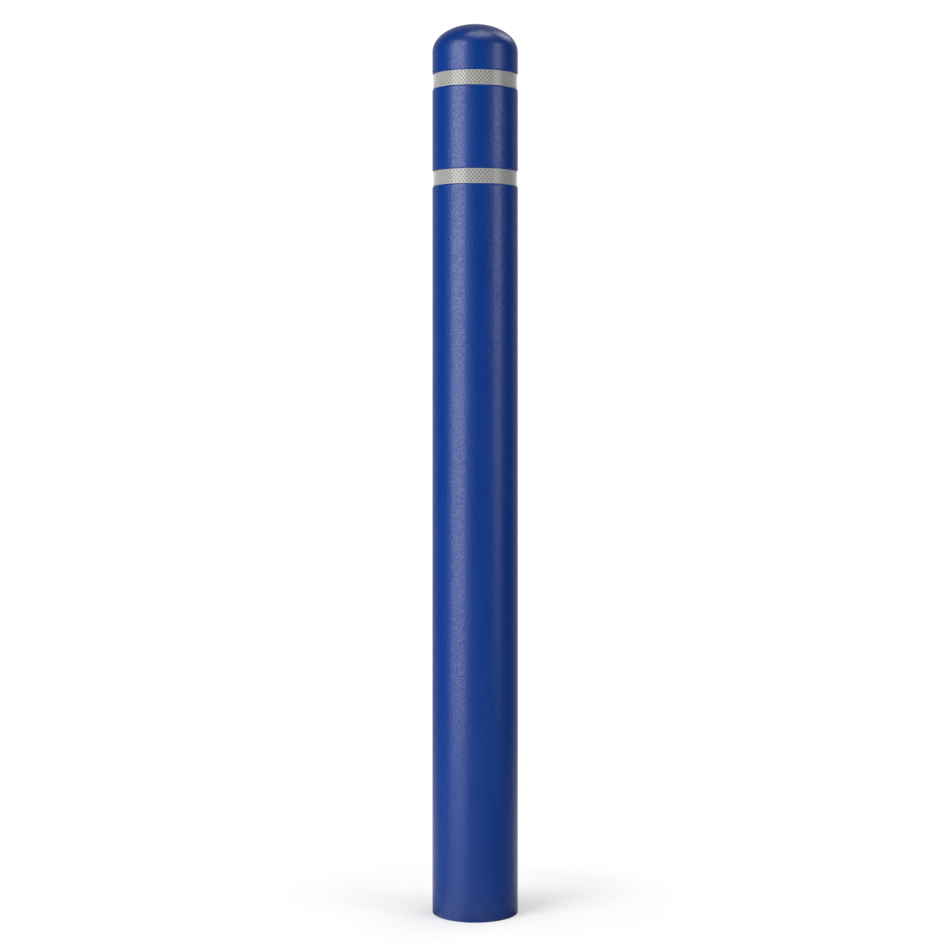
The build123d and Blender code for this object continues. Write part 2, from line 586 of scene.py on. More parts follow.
@dataclass(frozen=True)
class MouldedPolyethylene:
    """Satin coloured polyethylene with the fine leather grain of its mould."""

    name: str = "moulded blue polyethylene"
    colour: Colour = (0.0006, 0.0231, 0.151, 1.0)
    pale: Colour = (0.0016, 0.0266, 0.165, 1.0)
    dusty: Colour = (0.30, 0.31, 0.33, 1.0)
    roughness: float = 0.23
    specular: float = 0.38
    bump: float = 1.0
    depth: float = 0.00052
    gloss: float = 0.64
    roughness_range: float = 0.03
    gloss_roughness: float = 0.18

    def material(self) -> bpy.types.Material:
        """Builds the finish.

        Returns:
            The material.
        """
        material, nodes, shader = new_material(self.name, self.colour)
        place = nodes.object_place()
        grain = place_group(nodes, grain_group(), {
            "Place": place, "Ripple Scale": 260.0, "Ripple": 0.3, "Grain Scale": 480.0, "Grain": 1.1,
        })
        marks = place_group(nodes, handling_group(), {
            "Place": place, "Scuffs": 0.25, "Dust": 0.10, "Dust Height": 0.03,
        })
        cloud = nodes.noise(place, 14.0, 3.0)
        tinted = nodes.blend(nodes.spread(cloud, 0.3, 0.7, 0.0, 0.35), self.colour, self.pale)
        scuffed = nodes.blend(nodes.maths("MULTIPLY", marks.outputs["Scuffs"], 0.3), tinted, self.pale)
        dusted = nodes.blend(marks.outputs["Dust"], scuffed, self.dusty)
        nodes.feed(shader.inputs["Base Color"], dusted)
        smoothest, roughest = self.roughness - self.roughness_range, self.roughness + self.roughness_range
        fine_rough = nodes.spread(grain.outputs["Mask"], 0.3, 0.7, smoothest, roughest)
        scuffed_rough = nodes.maths("MULTIPLY_ADD", marks.outputs["Scuffs"], 0.12, fine_rough)
        nodes.feed(shader.inputs["Roughness"], scuffed_rough)
        shader.inputs["Specular IOR Level"].default_value = self.specular
        gloss = nodes.spread(grain.outputs["Mask"], 0.44, 0.56, 0.0, self.gloss)
        nodes.feed(shader.inputs["Coat Weight"], gloss)
        shader.inputs["Coat Roughness"].default_value = self.gloss_roughness
        relief = nodes.add(
            "Bump", {"Strength": self.bump, "Distance": self.depth, "Height": grain.outputs["Height"]}
        )
        nodes.feed(shader.inputs["Normal"], relief.outputs["Normal"])
        return material


@dataclass(frozen=True)
class PrismaticFilm:
    """Light grey retroreflective film: prism cells in a net of white seal lines, with sealed edges."""

    width: float
    name: str = "retroreflective prismatic film"
    cell: Colour = (0.092, 0.098, 0.086, 1.0)
    glint: Colour = (0.165, 0.169, 0.157, 1.0)
    seal: Colour = (0.325, 0.325, 0.315, 1.0)
    cell_width: float = 5.9 * MM
    cell_height: float = 6.2 * MM
    seal_share: float = 0.17
    coat_roughness: float = 0.12
    border: float = 0.7 * MM
    roughness: float = 0.50
    sheen: float = 0.8
    coat: float = 0.6

    def material(self) -> bpy.types.Material:
        """Builds the finish, with its net of lines laid along the tape's UV map.

        Returns:
            The material.
        """
        material, nodes, shader = new_material(self.name, self.cell)
        flat = nodes.add("UVMap", uv_map="tape").outputs["UV"]
        axes = nodes.add("SeparateXYZ", {"Vector": flat})
        across = nodes.maths("MULTIPLY", axes.outputs["X"], 1 / self.cell_width)
        up = nodes.maths("MULTIPLY", axes.outputs["Y"], 1 / self.cell_height)
        lines = [
            nodes.maths("PINGPONG", nodes.maths(way, across, up), 0.5) for way in ("ADD", "SUBTRACT")
        ]
        nearest = nodes.maths("MINIMUM", *lines)
        net = nodes.spread(nearest, self.seal_share * 0.3, self.seal_share, 1.0, 0.0)
        from_middle = nodes.maths("ABSOLUTE", nodes.maths("SUBTRACT", axes.outputs["Y"], self.width / 2))
        inset = nodes.maths("SUBTRACT", self.width / 2, from_middle)
        edge = nodes.spread(inset, self.border * 0.6, self.border, 1.0, 0.0)
        seal = nodes.maths("MAXIMUM", net, edge)
        sparkle = nodes.noise(nodes.object_place(), 900.0, 2.0, 0.6)
        tone = nodes.blend(nodes.spread(sparkle, 0.3, 0.7, 0.0, 1.0), self.cell, self.glint)
        nodes.feed(shader.inputs["Base Color"], nodes.blend(seal, tone, self.seal))
        nodes.feed(shader.inputs["Metallic"], nodes.spread(seal, 0.0, 1.0, 0.10, 0.02))
        rough = nodes.spread(sparkle, 0.3, 0.7, self.roughness - 0.05, self.roughness + 0.05)
        nodes.feed(shader.inputs["Roughness"], rough)
        relief = nodes.add("Bump", {"Strength": 0.35, "Distance": 0.00015, "Height": seal})
        nodes.feed(shader.inputs["Normal"], relief.outputs["Normal"])
        shader.inputs["Coat Weight"].default_value = self.coat
        shader.inputs["Coat Roughness"].default_value = self.coat_roughness
        shader.inputs["Sheen Weight"].default_value = self.sheen
        shader.inputs["Sheen Roughness"].default_value = 0.4
        return material


@dataclass(frozen=True)
class GalvanisedSteel:
    """Hot-dip galvanised steel, dull grey with flat crystals of zinc."""

    name: str = "galvanised steel"
    dark: Colour = (0.33, 0.35, 0.37, 1.0)
    light: Colour = (0.58, 0.60, 0.62, 1.0)
    dull: Colour = (0.40, 0.41, 0.415, 1.0)
    spangle: float = 62.0
    roughness: float = 0.40

    def material(self) -> bpy.types.Material:
        """Builds the finish.

        Returns:
            The material.
        """
        material, nodes, shader = new_material(self.name, self.light)
        place = nodes.object_place()
        zinc = place_group(nodes, spangle_group(), {"Place": place, "Scale": self.spangle})
        grain = place_group(nodes, grain_group(), {
            "Place": place, "Ripple Scale": 45.0, "Ripple": 1.0, "Grain Scale": 700.0, "Grain": 0.25,
        })
        marks = place_group(nodes, handling_group(), {
            "Place": place, "Scuffs": 0.8, "Dust": 0.25, "Dust Height": 0.04,
        })
        crystals = nodes.blend(nodes.spread(zinc.outputs["Tone"], 0.2, 0.8, 0.0, 1.0), self.dark, self.light)
        weather = nodes.spread(nodes.noise(place, 16.0, 5.0), 0.4, 0.7, 0.15, 0.75)
        weathered = nodes.blend(weather, crystals, self.dull)
        nodes.feed(shader.inputs["Base Color"], nodes.blend(marks.outputs["Scuffs"], weathered, self.light))
        shine = nodes.spread(zinc.outputs["Tone"], 0.2, 0.8, self.roughness + 0.12, self.roughness - 0.08)
        dusty_shine = nodes.maths("MULTIPLY_ADD", marks.outputs["Dust"], 0.25, shine)
        nodes.feed(shader.inputs["Roughness"], dusty_shine)
        nodes.feed(shader.inputs["Metallic"], nodes.spread(marks.outputs["Dust"], 0.0, 0.6, 0.92, 0.55))
        height = nodes.maths("MULTIPLY_ADD", zinc.outputs["Height"], 0.3, grain.outputs["Height"])
        relief = nodes.add("Bump", {"Strength": 0.4, "Distance": 0.0003, "Height": height})
        nodes.feed(shader.inputs["Normal"], relief.outputs["Normal"])
        return material


@dataclass(frozen=True)
class WeldMetal:
    """A weld bead under zinc, a little darker and rougher than the plate, with burnt edges."""

    name: str = "galvanised weld bead"
    metal: Colour = (0.36, 0.37, 0.38, 1.0)
    bright: Colour = (0.52, 0.53, 0.54, 1.0)
    scale: Colour = (0.20, 0.19, 0.185, 1.0)

    def material(self) -> bpy.types.Material:
        """Builds the finish.

        Returns:
            The material.
        """
        material, nodes, shader = new_material(self.name, self.metal)
        place = nodes.object_place()
        zinc = place_group(nodes, spangle_group(), {"Place": place, "Scale": 210.0})
        grain = place_group(nodes, grain_group(), {
            "Place": place, "Ripple Scale": 320.0, "Ripple": 1.0, "Grain Scale": 1100.0, "Grain": 0.8,
        })
        spots = nodes.spread(nodes.noise(place, 150.0, 5.0, 0.65), 0.45, 0.68, 0.0, 0.8)
        tone = nodes.spread(zinc.outputs["Tone"], 0.2, 0.8, 0.0, 0.5)
        toned = nodes.blend(tone, self.metal, self.bright)
        nodes.feed(shader.inputs["Base Color"], nodes.blend(spots, toned, self.scale))
        nodes.feed(shader.inputs["Roughness"], nodes.spread(spots, 0.0, 0.8, 0.38, 0.62))
        shader.inputs["Metallic"].default_value = 0.9
        relief = nodes.add("Bump", {"Strength": 0.5, "Distance": 0.0002, "Height": grain.outputs["Height"]})
        nodes.feed(shader.inputs["Normal"], relief.outputs["Normal"])
        return material


@dataclass(frozen=True)
class BlackOxide:
    """Oiled black oxide on alloy steel, worn bright where a key has turned."""

    name: str = "black oxide steel"
    black: Colour = (0.018, 0.018, 0.021, 1.0)
    bright: Colour = (0.22, 0.215, 0.21, 1.0)

    def material(self) -> bpy.types.Material:
        """Builds the finish.

        Returns:
            The material.
        """
        material, nodes, shader = new_material(self.name, self.black)
        place = nodes.object_place()
        grain = place_group(nodes, grain_group(), {
            "Place": place, "Ripple Scale": 500.0, "Ripple": 0.6, "Grain Scale": 1500.0, "Grain": 0.5,
        })
        marks = place_group(nodes, handling_group(), {"Place": place, "Scuffs": 1.0, "Dust": 0.0})
        edge = nodes.add("NewGeometry").outputs["Pointiness"]
        worn = nodes.maths("MAXIMUM", nodes.spread(edge, 0.53, 0.6, 0.0, 0.7), marks.outputs["Scuffs"])
        nodes.feed(shader.inputs["Base Color"], nodes.blend(worn, self.black, self.bright))
        nodes.feed(shader.inputs["Roughness"], nodes.spread(grain.outputs["Mask"], 0.3, 0.7, 0.3, 0.45))
        shader.inputs["Metallic"].default_value = 0.85
        relief = nodes.add("Bump", {"Strength": 0.3, "Distance": 0.00008, "Height": grain.outputs["Height"]})
        nodes.feed(shader.inputs["Normal"], relief.outputs["Normal"])
        return material


@dataclass(frozen=True)
class ClosedCellFoam:
    """Charcoal closed-cell foam tape: matt, with cut cells over its skin, their hollows darkened with painted
    shade.
    """

    name: str = "closed cell foam"
    dark: Colour = (0.020, 0.020, 0.022, 1.0)
    light: Colour = (0.060, 0.060, 0.063, 1.0)

    def material(self) -> bpy.types.Material:
        """Builds the finish.

        Returns:
            The material.
        """
        material, nodes, shader = new_material(self.name, self.dark)
        place = nodes.object_place()
        voronoi = nodes.add("TexVoronoi", {"Vector": place, "Scale": 1300.0, "Randomness": 1.0})
        cells = voronoi.outputs["Distance"]
        grain = place_group(nodes, grain_group(), {
            "Place": place, "Ripple Scale": 120.0, "Ripple": 0.8, "Grain Scale": 900.0, "Grain": 0.6,
        })
        marks = place_group(nodes, handling_group(), {"Place": place, "Scuffs": 0.5, "Dust": 0.0})
        # The cells' hollows are painted darker: painted shade in the pores, which the bump below also presses
        # in.
        pores = nodes.spread(cells, 0.1, 0.6, 1.0, 0.0)
        shade = nodes.blend(nodes.maths("MULTIPLY", pores, 0.6), self.light, self.dark)
        nodes.feed(shader.inputs["Base Color"], nodes.blend(marks.outputs["Scuffs"], shade, self.light))
        nodes.feed(shader.inputs["Roughness"], nodes.spread(grain.outputs["Mask"], 0.3, 0.7, 0.72, 0.9))
        shader.inputs["Specular IOR Level"].default_value = 0.3
        height = nodes.maths("MULTIPLY_ADD", pores, -0.5, grain.outputs["Height"])
        relief = nodes.add("Bump", {"Strength": 0.6, "Distance": 0.00025, "Height": height})
        nodes.feed(shader.inputs["Normal"], relief.outputs["Normal"])
        return material


# ---------------------------------------------------------------- pieces


def radius_of(node: str) -> float:
    """Returns how far a round node reaches from the axis."""
    low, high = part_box(node)
    return max(high.x, high.y, -low.x, -low.y)


def bounds_of(node: str) -> tuple[float, float]:
    """Returns a node's lowest and highest heights."""
    low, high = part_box(node)
    return low.z, high.z


def azimuth_of(node: str) -> float:
    """Returns the direction of a node that stands off the axis, from +X towards +Y.

    Args:
        node: The name of the CAD node.

    Returns:
        The angle in radians.
    """
    low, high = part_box(node)
    middle = (low + high) / 2
    return math.atan2(middle.y, middle.x)


def attach(
    piece: bpy.types.Object, material: bpy.types.Material, body: Body, node: str
) -> bpy.types.Object:
    """Dresses a finished piece and puts it in the place of its node.

    Args:
        piece: The piece.
        material: Its finish.
        body: The body that it rides on.
        node: The node that it stands for.

    Returns:
        The piece.
    """
    piece.data.materials.clear()
    piece.data.materials.append(material)
    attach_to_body(piece, body.value)
    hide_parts(node)
    log.info("%s stands for %s: %d faces", piece.name, node, len(piece.data.polygons))
    return piece


@dataclass
class Band:
    """A recessed band of the cover and the tape in it."""

    node: str
    bottom: float
    top: float
    tape_radius: float

    @classmethod
    def from_node(cls, node: str) -> "Band":
        """Reads a band from its tape's node."""
        low, high = bounds_of(node)
        return cls(node, low, high, radius_of(node))


@dataclass
class Cover:
    """The moulded cover: a domed tube with two recessed bands, and the tape in them."""

    radius: float
    height: float
    bands: list[Band]
    wall: float = 3.2 * MM
    dome_rise: float = 40.9 * MM
    band_depth: float = 2.0 * MM
    band_margin: float = 0.2 * MM
    lip_margin: float = 1.6 * MM
    shoulder_rise: float = 3.8 * MM
    lip_edge: float = 1.0 * MM
    mouth_edge: float = 1.0 * MM
    tape_thickness: float = 0.45 * MM
    tape_end_gap: float = 1.0 * MM
    tape_corner: float = 1.6 * MM
    ring_spacing: float = 45.0 * MM
    turns: int = 288

    @classmethod
    def from_frame(cls) -> "Cover":
        """Reads the cover's sizes from the frame."""
        bands = [Band.from_node(f"{place}_reflective_tape") for place in ("lower", "upper")]
        return cls(radius_of("cover_shell"), bounds_of("cover_shell")[1], bands)

    def outer_section(self, bm: bmesh.types.BMesh) -> bmesh.types.BMVert:
        """Draws the outside of the half section from the mouth to the crown.

        Args:
            bm: The mesh that it is drawn in.

        Returns:
            The vertex at the mouth's outer corner.
        """
        inside = self.radius - self.band_depth
        mouth = bm.verts.new(section(self.radius, 0))
        last = mouth
        lips = []
        for band in self.bands:
            floor = band.bottom - self.band_margin
            top = band.top + self.lip_margin
            last = self.climb(bm, last, floor - self.shoulder_rise)
            crest = elliptic_quarter(
                bm, last, section(inside, floor - self.shoulder_rise), self.shoulder_rise, 10
            )
            corner, lip = wire(bm, [section(inside, top), section(self.radius, top)])
            bm.edges.new((crest, corner))
            lips.append(lip)
            last = lip
        last = self.climb(bm, last, self.height - self.dome_rise)
        elliptic_quarter(bm, last, section(0, self.height - self.dome_rise), self.dome_rise, 40)
        round_corners(bm, lips, self.lip_edge, 4)
        return mouth

    def climb(
        self, bm: bmesh.types.BMesh, start: bmesh.types.BMVert, height: float
    ) -> bmesh.types.BMVert:
        """Draws a straight wall upwards in even steps.

        Args:
            bm: The mesh that it is drawn in.
            start: The vertex that it starts from.
            height: The height that it stops at.

        Returns:
            The vertex at its top.
        """
        rise = height - start.co.z
        steps = max(1, round(rise / self.ring_spacing))
        last = start
        for step in range(1, steps + 1):
            above = bm.verts.new((start.co.x, 0, start.co.z + rise * step / steps))
            bm.edges.new((last, above))
            last = above
        return last

    def build_shell(self) -> bpy.types.Object:
        """Makes the cover, with its wall's thickness, as one closed shell.

        Returns:
            The cover's object.
        """
        bm = bmesh.new()
        outer_mouth = self.outer_section(bm)
        bore = self.radius - self.wall
        inner_mouth = bm.verts.new(section(bore, 0))
        dome_base = self.height - self.dome_rise
        inner_top = self.climb(bm, inner_mouth, dome_base)
        elliptic_quarter(bm, inner_top, section(0, dome_base), self.dome_rise - self.wall, 32)
        bm.edges.new((inner_mouth, outer_mouth))
        round_corners(bm, [inner_mouth, outer_mouth], self.mouth_edge, 5)
        lathe(bm, self.turns)
        return to_object(bm, "moulded_cover", crease=50.0)

    def build_tape(self, band: Band) -> bpy.types.Object:
        """Makes one band's tape, whose two ends with their rounded corners meet at the back.

        Args:
            band: The band that the tape lies in.

        Returns:
            The tape.
        """
        outside = band.tape_radius
        inside = outside - self.tape_thickness
        gap = self.tape_end_gap / outside
        bm = bmesh.new()
        corners = wire(bm, [
            section(inside, band.bottom),
            section(outside, band.bottom),
            section(outside, band.top),
            section(inside, band.top),
        ])
        bm.edges.new((corners[-1], corners[0]))
        start = Matrix.Rotation(QUARTER_TURN + gap / 2, 3, "Z")
        bmesh.ops.rotate(bm, cent=(0, 0, 0), matrix=start, verts=bm.verts[:])
        bmesh.ops.spin(
            bm, geom=bm.verts[:] + bm.edges[:], cent=(0, 0, 0), axis=(0, 0, 1), dvec=(0, 0, 0),
            angle=FULL_TURN - gap, steps=self.turns, use_merge=False, use_duplicate=False,
        )
        bmesh.ops.holes_fill(bm, edges=[edge for edge in bm.edges if edge.is_boundary], sides=4)
        bmesh.ops.recalc_face_normals(bm, faces=bm.faces[:])
        ends = [edge for edge in bm.edges if self.is_end_corner(edge, gap)]
        bmesh.ops.bevel(
            bm, geom=ends, offset=self.tape_corner, offset_type="OFFSET", segments=5,
            profile=0.5, affect="EDGES", material=-1,
        )
        self.unroll(bm, band)
        return to_object(bm, f"{band.node.split('_')[0]}_tape_film")

    @staticmethod
    def unroll(bm: bmesh.types.BMesh, band: Band) -> None:
        """Lays a tape's UV map flat, in metres: along the tape from its front, and up from its lower edge.

        Args:
            bm: The tape's mesh.
            band: The band that the tape lies in.
        """
        flat = bm.loops.layers.uv.new("tape")
        for face in bm.faces:
            middle = face.calc_center_median()
            face_angle = math.atan2(middle.x, -middle.y)
            for loop in face.loops:
                angle = math.atan2(loop.vert.co.x, -loop.vert.co.y)
                if abs(angle - face_angle) > math.pi:
                    angle += math.copysign(FULL_TURN, face_angle)
                loop[flat].uv = (angle * band.tape_radius, loop.vert.co.z - band.bottom)

    @staticmethod
    def is_end_corner(edge: bmesh.types.BMEdge, gap: float) -> bool:
        """Says whether an edge runs through the tape's thickness at one of its two ends.

        Args:
            edge: The edge to judge.
            gap: The angle of the gap between the tape's ends, in radians.

        Returns:
            True if it does.
        """
        first, second = (vert.co for vert in edge.verts)
        at_end = all(abs(math.atan2(co.x, co.y)) < 0.6 * gap for co in (first, second))
        return at_end and abs(first.z - second.z) < WELD_DISTANCE

    def build(self) -> None:
        """Makes and dresses the cover and its tape."""
        plastic = MouldedPolyethylene().material()
        film = PrismaticFilm(self.bands[0].top - self.bands[0].bottom).material()
        attach(self.build_shell(), plastic, Body.COVER, "cover_shell")
        for band in self.bands:
            attach(self.build_tape(band), film, Body.COVER, band.node)


@dataclass
class WeldRing:
    """A fillet weld in the corner of a round wall and a flat plate, with a welder's ripples."""

    name: str
    node: str
    wall_radius: float
    bottom: float
    leg: float
    outwards: float
    ripple_pitch: float = 2.6 * MM
    ripple_height: float = 0.32 * MM
    crown: float = 0.12
    turns: int = 540

    def build(self, material: bpy.types.Material, body: Body) -> bpy.types.Object:
        """Makes and dresses the weld.

        Args:
            material: Its finish.
            body: The body that it rides on.

        Returns:
            The weld.
        """
        bm = bmesh.new()
        toe = Vector(section(self.wall_radius + self.outwards * self.leg, self.bottom))
        head = Vector(section(self.wall_radius, self.bottom + self.leg))
        root = Vector(section(self.wall_radius, self.bottom))
        verts = wire(bm, [toe, head, root])
        face = bm.edges.get((verts[0], verts[1]))
        bm.edges.new((verts[2], verts[0]))
        bmesh.ops.subdivide_edges(bm, edges=[face], cuts=9)
        away = ((toe + head) / 2 - root).normalized()
        width = (toe - head).length
        for vert in bm.verts:
            share = (vert.co - head).dot(toe - head) / width**2
            if (vert.co - root).length > WELD_DISTANCE:
                vert.co += away * self.crown * width * 4 * share * (1 - share)
        lathe(bm, self.turns)
        self.add_ripples(bm)
        return attach(to_object(bm, self.name, crease=70.0), material, body, self.node)

    def add_ripples(self, bm: bmesh.types.BMesh) -> None:
        """Raises the crescent-shaped ripples that follow each other round a weld.

        Args:
            bm: The weld's mesh.
        """
        count = round(FULL_TURN * self.wall_radius / self.ripple_pitch)
        draw = random.Random(self.name)
        unevenness = [draw.uniform(0.6, 1.0) for _ in range(count)]
        for vert in bm.verts:
            radius = math.hypot(vert.co.x, vert.co.y)
            up = (vert.co.z - self.bottom) / self.leg
            out = self.outwards * (radius - self.wall_radius) / self.leg
            if up + out < 0.5:
                continue
            share = min(max((up - out + 1) / 2, 0), 1)
            on_face = 4 * share * (1 - share)
            turn = math.atan2(vert.co.y, vert.co.x) / FULL_TURN % 1
            place = turn * count + 0.9 * (1 - on_face)
            bulge = abs(math.sin(math.pi * place)) * unevenness[int(place) % count] - 0.5
            push = self.ripple_height * bulge * on_face
            vert.co.z += push
            scale = 1 + self.outwards * push / radius
            vert.co.x *= scale
            vert.co.y *= scale


@dataclass
class Post:
    """The steel post: a pipe with a welded top disc, its set screws and its foam strips."""

    radius: float
    bottom: float
    top: float
    disc_radius: float
    disc_top: float
    screws: list[str]
    strips: list[str]
    wall: float = 6.02 * MM
    foot_edge: float = 1.0 * MM
    disc_edge: float = 1.0 * MM
    vent_radius: float = 5.0 * MM
    hole_radius: float = 5.0 * MM
    hole_bevel: float = 0.6 * MM
    screw_radius: float = 4.95 * MM
    screw_edge: float = 0.8 * MM
    socket_radius: float = 2.89 * MM
    socket_depth: float = 3.4 * MM
    strip_width: float = 25.4 * MM
    turns: int = 240

    @classmethod
    def from_frame(cls) -> "Post":
        """Reads the post's sizes from the frame.

        Returns:
            The sub-assembly.
        """
        names = sorted(frame["nodes"])
        bottom, top = bounds_of("post_pipe")
        return cls(
            radius=radius_of("post_pipe"),
            bottom=bottom,
            top=top,
            disc_radius=radius_of("post_cap"),
            disc_top=bounds_of("post_cap")[1],
            screws=[name for name in names if name.startswith("set_screw")],
            strips=[name for name in names if name.startswith("foam_strip")],
        )

    def build_pipe(self) -> bpy.types.Object:
        """Makes the pipe, eased at its foot and drilled for its set screws.

        Returns:
            The pipe's object.
        """
        bore = self.radius - self.wall
        bm = bmesh.new()
        corners = wire(bm, [
            section(self.radius, self.bottom),
            section(self.radius, self.top),
            section(bore, self.top),
            section(bore, self.bottom),
        ])
        bm.edges.new((corners[-1], corners[0]))
        round_corners(bm, [corners[0], corners[-1]], self.foot_edge, 1)
        lathe(bm, self.turns)
        pipe = to_object(bm, "post_tube")
        bits = []
        for name in self.screws:
            low, high = bounds_of(name)
            bit = drill_bit(self.hole_radius, bore - self.wall, self.radius, self.hole_bevel)
            aim(bit, azimuth_of(name), (low + high) / 2)
            bits.append(to_object(bit, f"bit_{name}"))
        drill(pipe, bits)
        return pipe

    def build_disc(self) -> bpy.types.Object:
        """Makes the top disc with its vent hole.

        Returns:
            The disc's object.
        """
        bm = bmesh.new()
        corners = wire(bm, [
            section(self.vent_radius, self.top),
            section(self.disc_radius, self.top),
            section(self.disc_radius, self.disc_top),
            section(self.vent_radius, self.disc_top),
        ])
        bm.edges.new((corners[-1], corners[0]))
        round_corners(bm, [corners[2]], self.disc_edge, 3)
        round_corners(bm, [corners[3]], self.disc_edge / 2, 2)
        lathe(bm, self.turns)
        return to_object(bm, "top_disc")

    def build_screw(self, node: str, turned: float) -> bpy.types.Object:
        """Makes a set screw with its hexagon socket.

        Args:
            node: The node that it stands for.
            turned: How far it is screwed round.

        Returns:
            The screw.
        """
        low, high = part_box(node)
        azimuth = azimuth_of(node)
        along = Vector((math.cos(azimuth), math.sin(azimuth), 0))
        reach = sorted(abs(corner.dot(along)) for corner in (low, high))
        face_radius = self.screw_radius - self.screw_edge
        bm = bmesh.new()
        rim = bmesh.ops.create_circle(bm, cap_ends=False, radius=face_radius, segments=48)["verts"]
        hexagon = bmesh.ops.create_circle(bm, cap_ends=False, radius=self.socket_radius, segments=6)["verts"]
        bmesh.ops.translate(bm, vec=(0, 0, reach[1]), verts=bm.verts[:])
        rim_edges = [edge for edge in bm.edges if edge.verts[0] in rim]
        socket_edges = [edge for edge in bm.edges if edge.verts[0] in hexagon]
        bmesh.ops.bridge_loops(bm, edges=rim_edges + socket_edges)
        self.pull(bm, socket_edges, -self.socket_depth, 1.0, close=True)
        shoulder = self.pull(bm, rim_edges, -self.screw_edge, self.screw_radius / face_radius)
        shank = self.pull(bm, shoulder, -(reach[1] - reach[0] - 2 * self.screw_edge), 1.0)
        self.pull(bm, shank, -self.screw_edge, face_radius / self.screw_radius, close=True)
        bmesh.ops.recalc_face_normals(bm, faces=bm.faces[:])
        bmesh.ops.rotate(bm, cent=(0, 0, 0), matrix=Matrix.Rotation(turned, 3, "Z"), verts=bm.verts[:])
        aim(bm, azimuth, (low.z + high.z) / 2)
        return to_object(bm, node.replace("set_screw", "grub_screw"), crease=25.0)

    @staticmethod
    def pull(
        bm: bmesh.types.BMesh,
        edges: list[bmesh.types.BMEdge],
        along: float,
        widen: float,
        close: bool = False,
    ) -> list[bmesh.types.BMEdge]:
        """Extrudes a loop of edges along Z.

        Args:
            bm: The mesh.
            edges: The loop.
            along: How far the loop is pulled.
            widen: What its width is multiplied by.
            close: Whether the new loop gets a face.

        Returns:
            The new loop's edges.
        """
        made = bmesh.ops.extrude_edge_only(bm, edges=edges)["geom"]
        verts = [item for item in made if isinstance(item, bmesh.types.BMVert)]
        loop = [item for item in made if isinstance(item, bmesh.types.BMEdge)]
        bmesh.ops.scale(bm, vec=(widen, widen, 1), verts=verts)
        bmesh.ops.translate(bm, vec=(0, 0, along), verts=verts)
        if close:
            bmesh.ops.contextual_create(bm, geom=loop)
        return loop

    def build_strip(self, node: str) -> bpy.types.Object:
        """Makes a foam strip: soft-edged, a little uneven, and bent round the pipe.

        Args:
            node: The node that it stands for.

        Returns:
            The strip.
        """
        low, high = bounds_of(node)
        length = high - low
        azimuth = azimuth_of(node)
        thickness = self.strip_reach(node) - self.radius
        draw = random.Random(node)
        phases = [draw.uniform(0, FULL_TURN) for _ in range(4)]
        bm = bmesh.new()
        bmesh.ops.create_grid(bm, x_segments=14, y_segments=260, size=0.5)
        bmesh.ops.scale(bm, vec=(self.strip_width, length, 1), verts=bm.verts[:])
        made = bmesh.ops.extrude_face_region(bm, geom=bm.faces[:])["geom"]
        raised = [item for item in made if isinstance(item, bmesh.types.BMVert)]
        bmesh.ops.translate(bm, vec=(0, 0, thickness), verts=raised)
        bmesh.ops.recalc_face_normals(bm, faces=bm.faces[:])
        for vert in raised:
            aside = abs(vert.co.x) / (self.strip_width / 2)
            ahead = (length / 2 - abs(vert.co.y)) / (3 * thickness)
            crown = 1 - 0.30 * aside**8 - 0.30 * max(0.0, 1 - ahead) ** 3
            waves = sum(
                math.sin(vert.co.y * pitch + vert.co.x * 90 + phase)
                for pitch, phase in zip((41, 97, 173, 290), phases)
            )
            vert.co.z = thickness * (crown - 0.035 - 0.009 * waves)
        for vert in bm.verts:
            angle = azimuth + vert.co.x / self.radius
            out = self.radius + max(vert.co.z, 0.05 * MM)
            vert.co = Vector((out * math.cos(angle), out * math.sin(angle), vert.co.y + (low + high) / 2))
        bmesh.ops.recalc_face_normals(bm, faces=bm.faces[:])
        return to_object(bm, node.replace("foam_strip", "foam_tape"), crease=60.0)

    @staticmethod
    def strip_reach(node: str) -> float:
        """Returns how far a foam strip's mesh reaches from the axis."""
        return max(math.hypot(vert.co.x, vert.co.y) for vert in frame["nodes"][node].data.vertices)

    def build(self) -> None:
        """Makes and dresses the post's pieces."""
        steel = GalvanisedSteel().material()
        weld = WeldMetal().material()
        oxide = BlackOxide().material()
        foam = ClosedCellFoam().material()
        attach(self.build_pipe(), steel, Body.POST, "post_pipe")
        attach(self.build_disc(), steel, Body.POST, "post_cap")
        low, high = bounds_of("post_cap_weld")
        WeldRing("top_weld", "post_cap_weld", self.disc_radius, low, high - low, 1.0).build(weld, Body.POST)
        draw = random.Random("screws")
        for name in self.screws:
            screw = self.build_screw(name, draw.uniform(0, FULL_TURN))
            attach(screw, oxide, Body.POST, name)
        for name in self.strips:
            strip = self.build_strip(name)
            attach(strip, foam, Body.POST, name)


